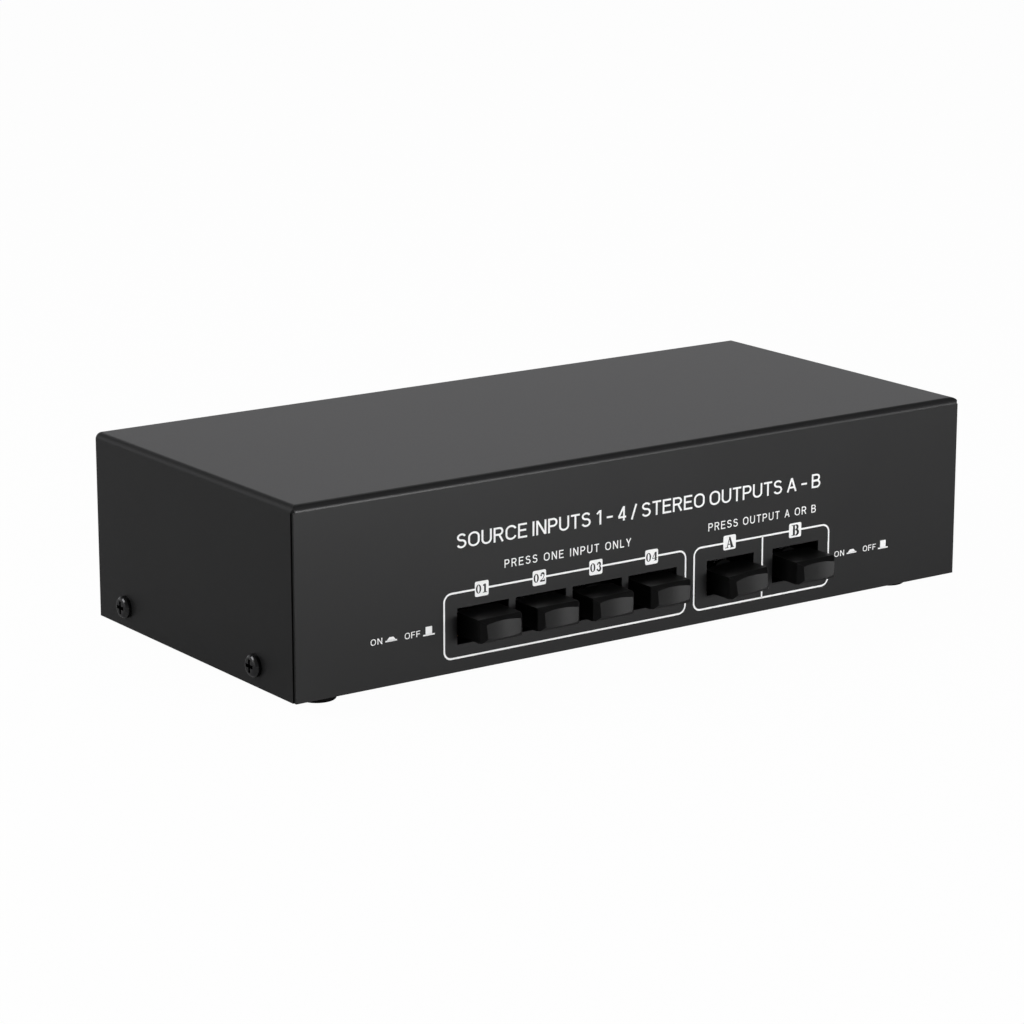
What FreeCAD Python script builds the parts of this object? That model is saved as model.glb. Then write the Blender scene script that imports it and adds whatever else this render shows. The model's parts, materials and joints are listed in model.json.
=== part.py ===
import FreeCAD, Part
import math
import os

# Speaker selector switch: a folded steel case with six push buttons in front
# and three blocks of spring clip terminals behind. Millimetres, X right, Y back, Z up.
# The pieces are drawn with X from the middle of the case, Y from the front panel's outer
# face and Z from the lower edge of the cover. save() then moves them to the part's origin,
# in the middle of the whole part and level with the bottoms of its feet.

V = FreeCAD.Vector

# Folded cover: top, front and both sides in one sheet
CASE_W = 220.0
CASE_D = 100.4
CASE_H = 51.0
COVER_T = 0.8
COVER_BEND_R = 1.8
SEAM_FRONT = 0.3
SEAM_SIDE = 1.05
CORNER_R = 1.05

# Base pan: bottom, rear panel, side flanges and front lip in one sheet
PAN_T = 1.0
PAN_GAP = 0.1
PAN_DROP = 0.5
PAN_BEND_R = 1.5
PAN_SIDE_H = 10.0
PAN_LIP_H = 5.5
PAN_TOP_FLANGE = 8.0
PAN_SLIT = 0.4

# Buttons and the windows they come through
INPUT_X = [-52.85, -34.5, -16.2, 2.15]
OUTPUT_X = {"a": 28.6, "b": 51.4}
WINDOW_W = 16.2
WINDOW_H = 9.75
WINDOW_Z = 12.18
PUSH_TRAVEL = 4.0
CAP_W = 13.4
CAP_H = 6.15
CAP_FACE_W = 10.5
CAP_FACE_H = 3.7
CAP_BEVEL_ABOVE = 2.2
CAP_BEVEL_BELOW = 1.25
CAP_BEVEL_SIDE = 1.7
CAP_DISH = 0.57
CAP_DISH_LEAN = 0.08
CAP_EDGE_R = 0.25
CAP_BACK_Y = 3.0

# How far each cap stands out, how high it sits and how far its right end is turned up, in degrees
INPUT_CAP_OUT = [9.7, 9.5, 8.8, 9.6]
INPUT_CAP_Z = [12.4, 12.5, 12.05, 12.5]
INPUT_CAP_ROLL = [1.0, 0.0, 0.0, 0.0]
OUTPUT_CAP_OUT = {"a": 9.8, "b": 10.4}
OUTPUT_CAP_Z = {"a": 11.4, "b": 11.7}
OUTPUT_CAP_ROLL = {"a": 4.0, "b": 0.0}

# Push switches on their board
PLUNGER_Z = 11.75
TONGUE_W = 4.0
TONGUE_H = 2.4
TONGUE_IN = 6.0
TONGUE_FIT = 0.03
COLLAR_D = 7.6
COLLAR_T = 1.0
STEM_D = 3.6
SLIDER_W = 6.0
SLIDER_FRONT_Y = 12.3
SLIDER_BACK_Y = 46.0
SLIDER_FIT = 0.25
LUG_OUT = 1.2
LUG_CATCH = 0.2
LUG_LENGTH = 2.6
SWITCH_W = 15.0
SWITCH_TOP_Z = 17.4
SWITCH_FRONT_Y = 11.0
SWITCH_BACK_Y = 52.0
SWITCH_WALL = 1.0
PIN_D = 0.9
PIN_TIP_Z = 3.4
PIN_SIDE_X = 5.0
PIN_FIRST_Y = 25.0
PIN_PITCH = 4.6
PINS_IN_ROW = 6

# Interlock of the four input switches
FRAME_DEPTH = 10.0
FRAME_T = 0.8
FRAME_END_LEFT = 11.2
FRAME_END_RIGHT = 17.6
SLIDE_T = 0.8
SLIDE_Y = 17.0
SLIDE_BOTTOM_Z = 7.4
SLIDE_TOP_Z = 16.4
SLIDE_TRAVEL = 1.5
SLIDE_END_GAP = 0.8
SLIDE_TIP = 3.0
SLIDE_TIP_H = 2.4

# Coil springs
SPRING_WIRE_D = 0.45
RETURN_SPRING_R = 2.8
RETURN_SPRING_TURNS = 5
INTERLOCK_SPRING_R = 2.4
INTERLOCK_SPRING_TURNS = 7
SPRING_SEAT_GAP = 0.03

# Board
BOARD_HALF_W = 95.0
BOARD_FRONT_Y = 14.0
BOARD_BACK_Y = 84.0
BOARD_T = 1.6
BOARD_TOP_Z = 6.2
STANDOFF_X = 88.0
STANDOFF_Y = [19.0, 62.0]
STANDOFF_ACROSS = 5.5
STANDOFF_BORE_D = 2.5

# Feet, standing on the surface this far below the cover's lower edge
FOOT_DROP = 3.5
FOOT_D = 10.0
FOOT_PLACES = [(-96.4, 11.4), (-96.4, 89.0), (96.4, 13.0), (96.4, 89.0)]
FOOT_RECESS_D = 6.4
FOOT_RECESS_H = 1.7
FOOT_EDGE_R = 0.6

# M3 screws with pan heads and cross recesses
SCREW_D = 3.0
SCREW_FIT = 0.03
SCREW_HEAD_D = 6.2
SCREW_HEAD_H = 1.8
SMALL_HEAD_D = 5.4
SMALL_HEAD_H = 1.4
SIDE_SCREW_Y = [19.1, 86.1]
SIDE_SCREW_Z = 5.7

# Terminal blocks: four columns of clips in two rows, on the rear panel
BLOCK_X = [-70.0, 0.0, 70.0]
BLOCK_Z = 27.0
BLOCK_FLANGE_W = 68.0
BLOCK_FLANGE_H = 38.0
BLOCK_FLANGE_T = 2.0
BLOCK_FACE_Y = 4.0
BLOCK_BODY_W = 56.0
BLOCK_BODY_H = 34.4
BLOCK_DEPTH = 12.0
BLOCK_WALL = 1.5
BLOCK_SCREW_X = 31.0
BLOCK_GAP = 0.4
COLUMN_PITCH = 14.0
ROW_PITCH = 17.5
CELL_W = 9.0
CELL_BOTTOM = -6.5
CELL_TOP = 7.3
SLOT_W = 8.8
SLOT_BOTTOM = 0.2
SLOT_TOP = 7.0
ENTRY_SIZE = 3.6
ENTRY_Z = -2.9

# Clip levers, hinged on their own trunnions
LEVER_W = 8.0
LEVER_PIVOT_Y = -5.0
LEVER_PIVOT_Z = 4.6
LEVER_BOSS_R = 1.9
LEVER_TIP_Y = 9.5
LEVER_TIP_R = 0.9
LEVER_T = 2.2
LEVER_LIP = 0.3
LEVER_HOOK = 1.0
LEVER_CAM = 4.2
LEVER_CAM_W = 2.2
TRUNNION_D = 2.0
TRUNNION_OUT = 0.9
TRUNNION_FIT = 0.05

# Contact leaves and the wires soldered to their tails
LEAF_W = 5.0
LEAF_T = 0.4
LEAF_Z = -5.2
LEAF_RISE_Y = -9.8
LEAF_TAIL_Y = -16.0
LEAF_KNEE_Z = 0.9
LEAF_TONGUE_Y = -4.6
LEAF_TONGUE_Z = -2.6
LEAF_TONGUE_T = 0.5
WIRE_D = 1.8
WIRE_BEND_R = 4.0
WIRE_DROP_Y = {"upper": 73.5, "lower": 79.5}

PAN_HALF_W = CASE_W / 2 - COVER_T - PAN_GAP
PAN_FRONT_Y = COVER_T + PAN_GAP
PAN_TOP_Z = CASE_H - COVER_T - PAN_GAP
PAN_FLOOR_Z = PAN_T - PAN_DROP
BOARD_BOTTOM_Z = BOARD_TOP_Z - BOARD_T
FRAME_LEFT_X = INPUT_X[0] - FRAME_END_LEFT
FRAME_RIGHT_X = INPUT_X[-1] + FRAME_END_RIGHT
FRAME_BACK_Y = SWITCH_FRONT_Y + FRAME_DEPTH
SLIDE_RIGHT_X = INPUT_X[-1] + 8.1
LUG_FRONT_Y = SLIDE_Y + SLIDE_T + LUG_CATCH - PUSH_TRAVEL
LUG_BACK_Y = LUG_FRONT_Y + LUG_LENGTH
ROWS = {"upper": ROW_PITCH / 2, "lower": -ROW_PITCH / 2}
FRONT_OUT = max(INPUT_CAP_OUT + list(OUTPUT_CAP_OUT.values()))
ORIGIN = V(0, (FRONT_OUT - CASE_D - LEVER_TIP_Y) / 2, FOOT_DROP)


def box(x0, x1, y0, y1, z0, z1):
    return Part.makeBox(x1 - x0, y1 - y0, z1 - z0, V(x0, y0, z0))


def rod(diameter, start, end):
    way = end - start
    return Part.makeCylinder(diameter / 2, way.Length, start, way)


def edges_at(shape, **planes):
    """Edges that lie wholly at the given x, y and z."""
    found = []
    for edge in shape.Edges:
        span = edge.BoundBox
        limits = {"x": (span.XMin, span.XMax), "y": (span.YMin, span.YMax), "z": (span.ZMin, span.ZMax)}
        if all(abs(limit - value) < 0.01 for axis, value in planes.items() for limit in limits[axis]):
            found.append(edge)
    return found


def rectangle(width, height, centre_x, y, centre_z):
    corners = [(-1, -1), (1, -1), (1, 1), (-1, 1), (-1, -1)]
    points = [V(centre_x + i * width / 2, y, centre_z + j * height / 2) for i, j in corners]
    return Part.makePolygon(points)


def side_profile(points, x0, x1):
    """A closed outline of (y, z) points, extruded from x0 to x1."""
    outline = [V(x0, y, z) for y, z in points + points[:1]]
    return Part.Face(Part.makePolygon(outline)).extrude(V(x1 - x0, 0, 0))


def joined(shapes):
    whole = shapes[0].multiFuse(shapes[1:])
    return whole.removeSplitter()


def save(name, *shapes):
    shape = shapes[0] if len(shapes) == 1 else Part.makeCompound(list(shapes))
    shape = shape.copy()
    shape.translate(ORIGIN)
    shape.exportStep("parts/" + name + ".step")


def screw(head_d, head_h, length, place, way):
    """A pan head screw whose head sits at place and whose shank points along way."""
    head = Part.makeCylinder(head_d / 2, head_h)
    head = head.makeFillet(0.7 * head_h, edges_at(head, z=head_h))
    shank = Part.makeCylinder(SCREW_D / 2, length, V(0, 0, -length))
    shank = shank.makeChamfer(0.4, edges_at(shank, z=-length))
    slot_w = 0.15 * head_d
    slot_l = 0.56 * head_d
    floor = 0.35 * head_h
    cross = [box(-slot_l / 2, slot_l / 2, -slot_w / 2, slot_w / 2, floor, head_h + 1),
             box(-slot_w / 2, slot_w / 2, -slot_l / 2, slot_l / 2, floor, head_h + 1)]
    whole = joined([head, shank]).cut(cross)
    whole.Placement = FreeCAD.Placement(place, FreeCAD.Rotation(V(0, 0, -1), way))
    return whole


def coil(radius, turns, start, end):
    """A helical spring whose outer ends stand at start and end."""
    way = end - start
    height = way.Length - SPRING_WIRE_D - 2 * SPRING_SEAT_GAP
    path = Part.makeHelix(height / turns, height, radius)
    section = Part.Wire(Part.makeCircle(SPRING_WIRE_D / 2, V(radius, 0, 0), V(0, 1, 0)))
    spring = path.makePipeShell([section], True, True)
    spring.translate(V(0, 0, SPRING_SEAT_GAP + SPRING_WIRE_D / 2))
    turn = FreeCAD.Rotation(V(0, 0, 1), way)
    spring.Placement = FreeCAD.Placement(start, turn).multiply(spring.Placement)
    return spring


# Case

def side_hole(diameter, side, y):
    """Through a side panel and the pan's flange behind it, for a case screw."""
    x = side * CASE_W / 2
    return rod(diameter, V(x - 3, y, SIDE_SCREW_Z), V(x + 3, y, SIDE_SCREW_Z))


def seam_cuts(side):
    """An open seam between the front and a side panel, and a round corner above it."""
    outside = side * (CASE_W / 2 + 1)
    seam_top = CASE_H - COVER_BEND_R
    cuts = []
    for inset, front_y in ((SEAM_FRONT, -1), (COVER_T, COVER_T)):
        x0, x1 = sorted((side * (CASE_W / 2 - inset), outside))
        cuts.append(box(x0, x1, front_y, SEAM_SIDE, -1, seam_top))
    x = side * (CASE_W / 2 - CORNER_R)
    x0, x1 = sorted((x, outside))
    corner = box(x0, x1, -1, CORNER_R, seam_top, CASE_H + 1)
    cuts.append(corner.cut(rod(2 * CORNER_R, V(x, CORNER_R, seam_top - 1), V(x, CORNER_R, CASE_H + 2))))
    return cuts


def cover():
    half = CASE_W / 2
    solids = []
    for inset in (0.0, COVER_T):
        top = CASE_H - inset
        side = half - inset
        back = CASE_D + 2 * inset
        block = box(-side, side, inset, back, -2 * inset, top)
        bends = (edges_at(block, y=inset, z=top) + edges_at(block, x=-side, z=top)
                 + edges_at(block, x=side, z=top))
        solids.append(block.makeFillet(COVER_BEND_R - inset, bends))
    sheet = solids[0].cut(solids[1])
    cuts = []
    for side in (-1, 1):
        cuts.extend(seam_cuts(side))
        for y in SIDE_SCREW_Y:
            cuts.append(side_hole(SCREW_D + 0.4, side, y))
    for x in INPUT_X + list(OUTPUT_X.values()):
        cuts.append(box(x - WINDOW_W / 2, x + WINDOW_W / 2, -1, 2,
                        WINDOW_Z - WINDOW_H / 2, WINDOW_Z + WINDOW_H / 2))
    return sheet.cut(cuts)


def base_pan():
    solids = []
    for inset in (0.0, PAN_T):
        side = PAN_HALF_W - inset
        front = PAN_FRONT_Y + inset
        back = CASE_D - inset
        bottom = inset - PAN_DROP
        top = PAN_TOP_Z - inset
        block = box(-side, side, front, back, bottom, top)
        bends = (edges_at(block, y=front, z=bottom) + edges_at(block, y=back, z=bottom)
                 + edges_at(block, x=-side, z=bottom) + edges_at(block, x=side, z=bottom)
                 + edges_at(block, y=back, z=top) + edges_at(block, x=-side, z=top)
                 + edges_at(block, x=side, z=top))
        solids.append(block.makeFillet(PAN_BEND_R - inset, bends))
    sheet = solids[0].cut(solids[1])
    wide = PAN_HALF_W + 1
    inside = PAN_HALF_W - PAN_T - PAN_SLIT
    flange_y = CASE_D - PAN_TOP_FLANGE
    cuts = [box(-wide, wide, 0, flange_y, PAN_SIDE_H, CASE_H),
            box(-wide, wide, 0, PAN_FRONT_Y + PAN_T + PAN_SLIT, PAN_LIP_H, PAN_SIDE_H + 1)]
    for side in (-1, 1):
        edges = sorted((side * inside, side * wide))
        slit_top = PAN_SIDE_H + 1
        slit_bottom = PAN_FLOOR_Z + PAN_SLIT
        cuts.append(box(*edges, flange_y - 1, CASE_D - PAN_T, PAN_SIDE_H, CASE_H))
        for y in (PAN_FRONT_Y + PAN_T, CASE_D - PAN_T - PAN_SLIT):
            cuts.append(box(*edges, y, y + PAN_SLIT, slit_bottom, slit_top))
        for y in SIDE_SCREW_Y:
            cuts.append(side_hole(SCREW_D + 2 * SCREW_FIT, side, y))
    half_w = BLOCK_BODY_W / 2 + BLOCK_GAP
    half_h = BLOCK_BODY_H / 2 + BLOCK_GAP
    for x in BLOCK_X:
        cuts.append(box(x - half_w, x + half_w, CASE_D - 2, CASE_D + 1, BLOCK_Z - half_h, BLOCK_Z + half_h))
    hole = SCREW_D + 2 * SCREW_FIT
    for x, y in FOOT_PLACES + standoff_places():
        cuts.append(rod(hole, V(x, y, -2), V(x, y, 2)))
    for x in block_screw_x():
        cuts.append(rod(hole, V(x, CASE_D - 2, BLOCK_Z), V(x, CASE_D + 1, BLOCK_Z)))
    return sheet.cut(cuts)


def case_screws():
    screws = []
    for side in (-1, 1):
        for y in SIDE_SCREW_Y:
            seat = V(side * CASE_W / 2, y, SIDE_SCREW_Z)
            screws.append(screw(SCREW_HEAD_D, SCREW_HEAD_H, 6.0, seat, V(-side, 0, 0)))
    return screws


def rubber_foot(x, y):
    foot = rod(FOOT_D, V(x, y, -FOOT_DROP), V(x, y, -PAN_DROP))
    foot = foot.makeFillet(FOOT_EDGE_R, edges_at(foot, z=-FOOT_DROP))
    recess = rod(FOOT_RECESS_D, V(x, y, -FOOT_DROP - 1), V(x, y, -FOOT_DROP + FOOT_RECESS_H))
    hole = rod(SCREW_D + 0.2, V(x, y, -FOOT_DROP), V(x, y, 0))
    return foot.cut([recess, hole])


def foot_screw(x, y):
    return screw(SMALL_HEAD_D, SMALL_HEAD_H, 4.0, V(x, y, FOOT_RECESS_H - FOOT_DROP), V(0, 0, 1))


# Board

def standoff_places():
    return [(x, y) for x in (-STANDOFF_X, STANDOFF_X) for y in STANDOFF_Y]


def board_standoff(x, y):
    """A six sided spacer, riveted to the pan by a collar through the pan's hole."""
    corner = STANDOFF_ACROSS / math.sqrt(3)
    turns = [math.radians(60 * i) for i in range(7)]
    outline = [V(x + corner * math.cos(a), y + corner * math.sin(a), PAN_FLOOR_Z) for a in turns]
    post = Part.Face(Part.makePolygon(outline)).extrude(V(0, 0, BOARD_BOTTOM_Z - PAN_FLOOR_Z))
    rivet = rod(SCREW_D, V(x, y, -PAN_DROP), V(x, y, PAN_FLOOR_Z))
    thread = rod(STANDOFF_BORE_D, V(x, y, 1.0), V(x, y, BOARD_TOP_Z))
    return joined([post, rivet]).cut(thread)


def board_screw(x, y):
    """A screw whose shank is thinner below the board, where it runs in the standoff."""
    whole = screw(SMALL_HEAD_D, SMALL_HEAD_H, 4.5, V(x, y, BOARD_TOP_Z), V(0, 0, -1))
    low = V(x, y, 0)
    high = V(x, y, BOARD_BOTTOM_Z)
    around = rod(2 * SCREW_D, low, high).cut(rod(STANDOFF_BORE_D - 2 * SCREW_FIT, low, high))
    return whole.cut(around)


def pin_places(x):
    rows = [x - PIN_SIDE_X, x + PIN_SIDE_X]
    return [(row, PIN_FIRST_Y + i * PIN_PITCH) for row in rows for i in range(PINS_IN_ROW)]


def switch_board():
    board = box(-BOARD_HALF_W, BOARD_HALF_W, BOARD_FRONT_Y, BOARD_BACK_Y, BOARD_BOTTOM_Z, BOARD_TOP_Z)
    holes = []
    for x, y in standoff_places():
        holes.append(rod(SCREW_D + 0.2, V(x, y, 0), V(x, y, BOARD_TOP_Z + 1)))
    for switch_x in INPUT_X + list(OUTPUT_X.values()):
        for x, y in pin_places(switch_x):
            holes.append(rod(PIN_D + 0.2, V(x, y, 0), V(x, y, BOARD_TOP_Z + 1)))
    return board.cut(holes)


# Push switches

def switch_housing(x, front_y):
    """A moulded housing on two rows of pins, bored for its slider."""
    body = box(x - SWITCH_W / 2, x + SWITCH_W / 2, front_y, SWITCH_BACK_Y, BOARD_TOP_Z, SWITCH_TOP_Z)
    pins = [rod(PIN_D, V(px, py, PIN_TIP_Z), V(px, py, BOARD_TOP_Z)) for px, py in pin_places(x)]
    bore_w = SLIDER_W / 2 + SLIDER_FIT
    bore_front = max(front_y - 1, SWITCH_FRONT_Y + SWITCH_WALL)
    bore = box(x - bore_w, x + bore_w, bore_front, SWITCH_BACK_Y - SWITCH_WALL,
               PLUNGER_Z - bore_w, PLUNGER_Z + bore_w)
    nose = rod(STEM_D + 1.0, V(x, front_y - 1, PLUNGER_Z), V(x, bore_front + 1, PLUNGER_Z))
    return joined([body] + pins).cut([bore, nose])


def button_cap(x, z, out, roll):
    """A block with a bevelled end and a dished face, open behind for the plunger's tongue."""
    half_w = CAP_W / 2
    half_h = CAP_H / 2
    face_w = CAP_FACE_W / 2
    face_h = CAP_FACE_H / 2
    outline = [(-out, z - face_h), (CAP_BEVEL_BELOW - out, z - half_h), (CAP_BACK_Y, z - half_h),
               (CAP_BACK_Y, z + half_h), (CAP_BEVEL_ABOVE - out, z + half_h), (-out, z + face_h)]
    block = side_profile(outline, x - half_w, x + half_w)
    bevels = []
    for side in (-1, 1):
        corners = [(face_w, -1), (face_w, 0), (half_w, CAP_BEVEL_SIDE), (CAP_W, CAP_BEVEL_SIDE), (CAP_W, -1)]
        points = [V(x + side * i, j - out, z - CAP_H) for i, j in corners + corners[:1]]
        bevels.append(Part.Face(Part.makePolygon(points)).extrude(V(0, 0, 2 * CAP_H)))
    cap = block.cut(bevels)
    cap = cap.makeFillet(CAP_EDGE_R, [e for e in cap.Edges if e.BoundBox.YMax < CAP_BACK_Y - 0.01])
    dish_r = (face_w ** 2 + CAP_DISH ** 2) / (2 * CAP_DISH)
    dish_y = CAP_DISH - out - dish_r
    lean = CAP_DISH_LEAN * CAP_H
    cap = cap.cut(rod(2 * dish_r, V(x, dish_y - lean, z - CAP_H), V(x, dish_y + lean, z + CAP_H)))
    cap.rotate(V(x, 0, z), V(0, -1, 0), roll)
    socket_w = TONGUE_W / 2 + TONGUE_FIT
    socket_h = TONGUE_H / 2 + TONGUE_FIT
    socket_y = CAP_BACK_Y - TONGUE_IN - TONGUE_FIT
    return cap.cut(box(x - socket_w, x + socket_w, socket_y, CAP_BACK_Y + 1,
                       PLUNGER_Z - socket_h, PLUNGER_Z + socket_h))


def plunger(x, has_lug):
    """Tongue in the cap, collar behind it, round stem through the spring, square slider."""
    half = SLIDER_W / 2
    shapes = [box(x - TONGUE_W / 2, x + TONGUE_W / 2, CAP_BACK_Y - TONGUE_IN, CAP_BACK_Y,
                  PLUNGER_Z - TONGUE_H / 2, PLUNGER_Z + TONGUE_H / 2),
              rod(COLLAR_D, V(x, CAP_BACK_Y, PLUNGER_Z), V(x, CAP_BACK_Y + COLLAR_T, PLUNGER_Z)),
              rod(STEM_D, V(x, CAP_BACK_Y + COLLAR_T, PLUNGER_Z), V(x, SLIDER_FRONT_Y, PLUNGER_Z)),
              box(x - half, x + half, SLIDER_FRONT_Y, SLIDER_BACK_Y, PLUNGER_Z - half, PLUNGER_Z + half)]
    if has_lug:
        side = x + half
        low = PLUNGER_Z - half
        wedge = [V(side, LUG_FRONT_Y, low), V(side + LUG_OUT, LUG_FRONT_Y, low),
                 V(side, LUG_BACK_Y, low), V(side, LUG_FRONT_Y, low)]
        shapes.append(Part.Face(Part.makePolygon(wedge)).extrude(V(0, 0, SLIDER_W)))
    return joined(shapes)


def return_spring(x):
    return coil(RETURN_SPRING_R, RETURN_SPRING_TURNS,
                V(x, CAP_BACK_Y + COLLAR_T, PLUNGER_Z), V(x, SWITCH_FRONT_Y, PLUNGER_Z))


def input_switch_frame():
    """A stamped tray, open behind, that ties the four input switches together."""
    outer = box(FRAME_LEFT_X, FRAME_RIGHT_X, SWITCH_FRONT_Y, FRAME_BACK_Y, BOARD_TOP_Z, SWITCH_TOP_Z)
    inner = box(FRAME_LEFT_X + FRAME_T, FRAME_RIGHT_X - FRAME_T, SWITCH_FRONT_Y + FRAME_T, FRAME_BACK_Y + 1,
                BOARD_TOP_Z + FRAME_T, SWITCH_TOP_Z - FRAME_T)
    holes = [rod(STEM_D + 1.0, V(x, 0, PLUNGER_Z), V(x, SLIDER_FRONT_Y, PLUNGER_Z)) for x in INPUT_X]
    return outer.cut([inner] + holes)


def interlock_slide():
    """A strip with a window for each plunger. A lug pushes it aside, its spring brings it back."""
    strip = box(FRAME_LEFT_X + FRAME_T + SLIDE_END_GAP, SLIDE_RIGHT_X, SLIDE_Y, SLIDE_Y + SLIDE_T,
                SLIDE_BOTTOM_Z, SLIDE_TOP_Z)
    tip = box(SLIDE_RIGHT_X, SLIDE_RIGHT_X + SLIDE_TIP, SLIDE_Y, SLIDE_Y + SLIDE_T,
              PLUNGER_Z - SLIDE_TIP_H / 2, PLUNGER_Z + SLIDE_TIP_H / 2)
    half = SLIDER_W / 2 + 0.3
    windows = [box(x - half - SLIDE_TRAVEL, x + half + LUG_OUT, SLIDE_Y - 1, SLIDE_Y + 2,
                   PLUNGER_Z - half, PLUNGER_Z + half) for x in INPUT_X]
    return joined([strip, tip]).cut(windows)


def interlock_spring():
    middle_y = SLIDE_Y + SLIDE_T / 2
    return coil(INTERLOCK_SPRING_R, INTERLOCK_SPRING_TURNS,
                V(SLIDE_RIGHT_X, middle_y, PLUNGER_Z), V(FRAME_RIGHT_X - FRAME_T, middle_y, PLUNGER_Z))


# Terminals

def block_screw_x():
    return [x + side * BLOCK_SCREW_X for x in BLOCK_X for side in (-1, 1)]


def column_x(block_x):
    return [block_x + (i - 1.5) * COLUMN_PITCH for i in range(4)]


def cell_places(block_x):
    """The middle of each clip's cell, as x and z."""
    return [(x, BLOCK_Z + rise) for rise in ROWS.values() for x in column_x(block_x)]


def terminal_block(block_x):
    face_y = CASE_D + BLOCK_FACE_Y
    back_y = CASE_D - BLOCK_DEPTH
    half_w = BLOCK_FLANGE_W / 2
    half_h = BLOCK_FLANGE_H / 2
    flange = box(block_x - half_w, block_x + half_w, CASE_D, CASE_D + BLOCK_FLANGE_T,
                 BLOCK_Z - half_h, BLOCK_Z + half_h)
    corners = [e for e in flange.Edges if e.BoundBox.YLength > BLOCK_FLANGE_T - 0.1]
    flange = flange.makeFillet(2.0, corners)
    flange = flange.makeFillet(0.4, edges_at(flange, y=CASE_D + BLOCK_FLANGE_T))
    body = box(block_x - BLOCK_BODY_W / 2, block_x + BLOCK_BODY_W / 2, back_y, face_y,
               BLOCK_Z - BLOCK_BODY_H / 2, BLOCK_Z + BLOCK_BODY_H / 2)
    body = body.makeFillet(0.5, edges_at(body, y=face_y))
    cuts = []
    for side in (-1, 1):
        x = block_x + side * BLOCK_SCREW_X
        cuts.append(rod(SCREW_D + 0.2, V(x, CASE_D - 1, BLOCK_Z), V(x, CASE_D + 5, BLOCK_Z)))
    half = CELL_W / 2
    socket = half + TRUNNION_OUT - 0.4
    for x, z in cell_places(block_x):
        cuts.append(box(x - half, x + half, back_y + BLOCK_WALL, face_y - BLOCK_WALL,
                        z + CELL_BOTTOM, z + CELL_TOP))
        cuts.append(box(x - SLOT_W / 2, x + SLOT_W / 2, face_y - 2, face_y + 1,
                        z + SLOT_BOTTOM, z + SLOT_TOP))
        cuts.append(box(x - ENTRY_SIZE / 2, x + ENTRY_SIZE / 2, face_y - 2, face_y + 1,
                        z + ENTRY_Z - ENTRY_SIZE / 2, z + ENTRY_Z + ENTRY_SIZE / 2))
        cuts.append(box(x - LEAF_W / 2 - 0.1, x + LEAF_W / 2 + 0.1, back_y - 1, back_y + 2,
                        z + LEAF_Z - 0.1, z + LEAF_Z + LEAF_T + 0.1))
        pivot_y = CASE_D + LEVER_PIVOT_Y
        pivot_z = z + LEVER_PIVOT_Z
        cuts.append(rod(TRUNNION_D + 2 * TRUNNION_FIT, V(x - socket, pivot_y, pivot_z),
                        V(x + socket, pivot_y, pivot_z)))
    return joined([flange, body]).cut(cuts)


def clip_lever(x, z):
    """A tab that is pressed down to free the wire, with its trunnions and its cam."""
    pivot_y = CASE_D + LEVER_PIVOT_Y
    pivot_z = z + LEVER_PIVOT_Z
    top = pivot_z + LEVER_BOSS_R
    tip_y = CASE_D + LEVER_TIP_Y
    neck_y = CASE_D + BLOCK_FACE_Y - BLOCK_WALL
    low = top - LEVER_T
    tip_low = low - LEVER_HOOK
    tip_top = top + LEVER_LIP
    outline = [(pivot_y, pivot_z - 0.8), (neck_y - 3.0, low), (neck_y + 3.2, low), (tip_y, tip_low),
               (tip_y, tip_top), (tip_y - 1.6, tip_top), (neck_y + 2.6, top), (pivot_y, top)]
    left = x - LEVER_W / 2
    right = x + LEVER_W / 2
    tab = side_profile(outline, left, right)
    tab = tab.makeFillet(LEVER_TIP_R, edges_at(tab, y=tip_y, z=tip_top) + edges_at(tab, y=tip_y, z=tip_low))
    boss = rod(2 * LEVER_BOSS_R, V(left, pivot_y, pivot_z), V(right, pivot_y, pivot_z))
    cam = box(left + 1.5, right - 1.5, pivot_y - LEVER_CAM_W / 2, pivot_y + LEVER_CAM_W / 2,
              pivot_z - LEVER_CAM, pivot_z)
    reach = LEVER_W / 2 + TRUNNION_OUT - 0.1
    trunnion = rod(TRUNNION_D, V(x - reach, pivot_y, pivot_z), V(x + reach, pivot_y, pivot_z))
    return joined([tab, boss, cam, trunnion])


def terminal_screw(x):
    return screw(SMALL_HEAD_D, SMALL_HEAD_H, 6.0, V(x, CASE_D + BLOCK_FLANGE_T, BLOCK_Z), V(0, -1, 0))


def contact_leaf(x, z):
    """A bent strip: solder tail, foot, riser and the tongue that grips the wire."""
    low = z + LEAF_Z
    tail_y = CASE_D + LEAF_TAIL_Y
    rise_y = CASE_D + LEAF_RISE_Y
    knee_z = z + LEAF_KNEE_Z
    tongue_y = CASE_D + LEAF_TONGUE_Y
    tongue_z = z + LEAF_TONGUE_Z
    outline = [(tail_y, low), (rise_y, low), (rise_y, knee_z - LEAF_TONGUE_T),
               (tongue_y, tongue_z - LEAF_TONGUE_T), (tongue_y, tongue_z), (rise_y, knee_z),
               (rise_y - LEAF_T, knee_z), (rise_y - LEAF_T, low + LEAF_T), (tail_y, low + LEAF_T)]
    return side_profile(outline, x - LEAF_W / 2, x + LEAF_W / 2)


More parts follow.
